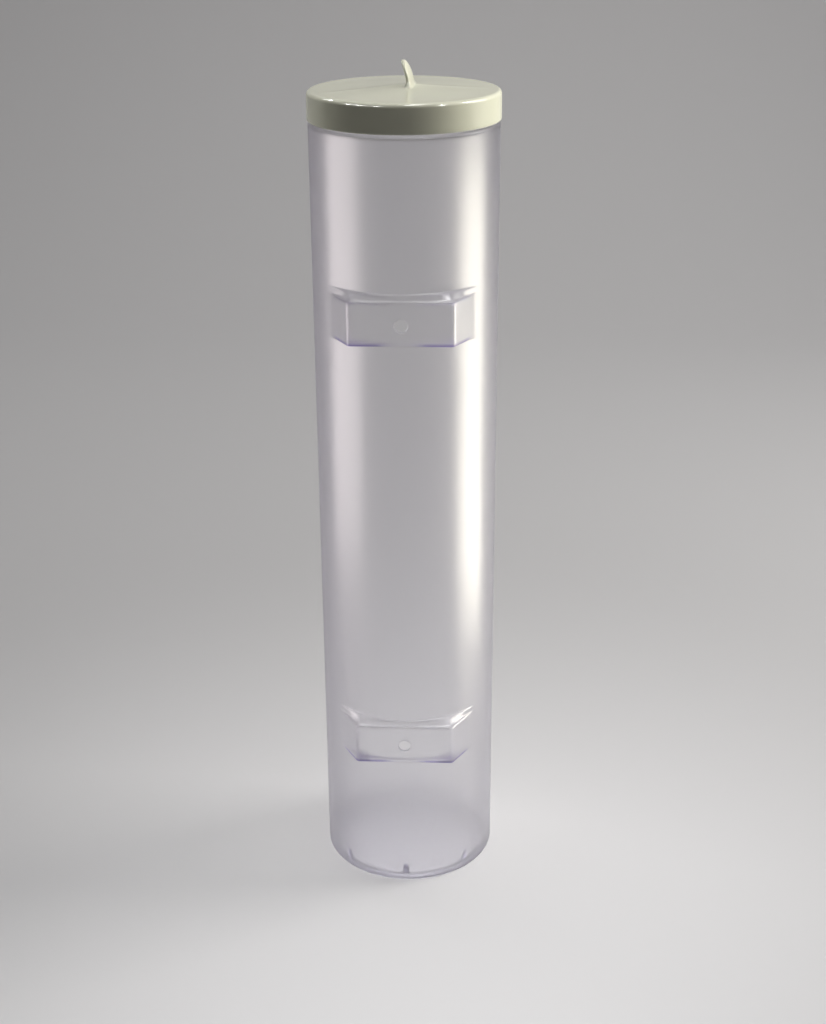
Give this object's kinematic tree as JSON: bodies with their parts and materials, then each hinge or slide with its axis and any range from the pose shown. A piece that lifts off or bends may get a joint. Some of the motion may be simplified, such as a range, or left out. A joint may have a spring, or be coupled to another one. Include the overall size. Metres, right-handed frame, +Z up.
{
  "type": "fire blanket container",
  "caption": "Wall-mounting see-through tube that holds a rolled fire blanket, with flat screw pads, a closed foot and a push-on cap with a pull tab.",
  "frame": {"origin": "centre of the foot that the tube stands on", "axes": "+Z up along the tube, -Y towards the wall that the two screw pads are fixed to, +X to the right when looking at the pads"},
  "size_m": [0.101, 0.101, 0.4701],
  "materials": {
    "clear_frosted_plastic": "see-through plastic with a fine frosted grain and a faint violet tint where it is thick",
    "cream_plastic": "smooth glossy moulded cream plastic"
  },
  "bodies": {
    "tube": {"tube_body": "clear_frosted_plastic"},
    "cap": {"cap": "cream_plastic"}
  },
  "joints": [
    {"name": "cap_lift", "type": "slide", "parent": "tube", "child": "cap", "axis": [0, 0, 1], "range_m": [0, 0.12]}
  ]
}
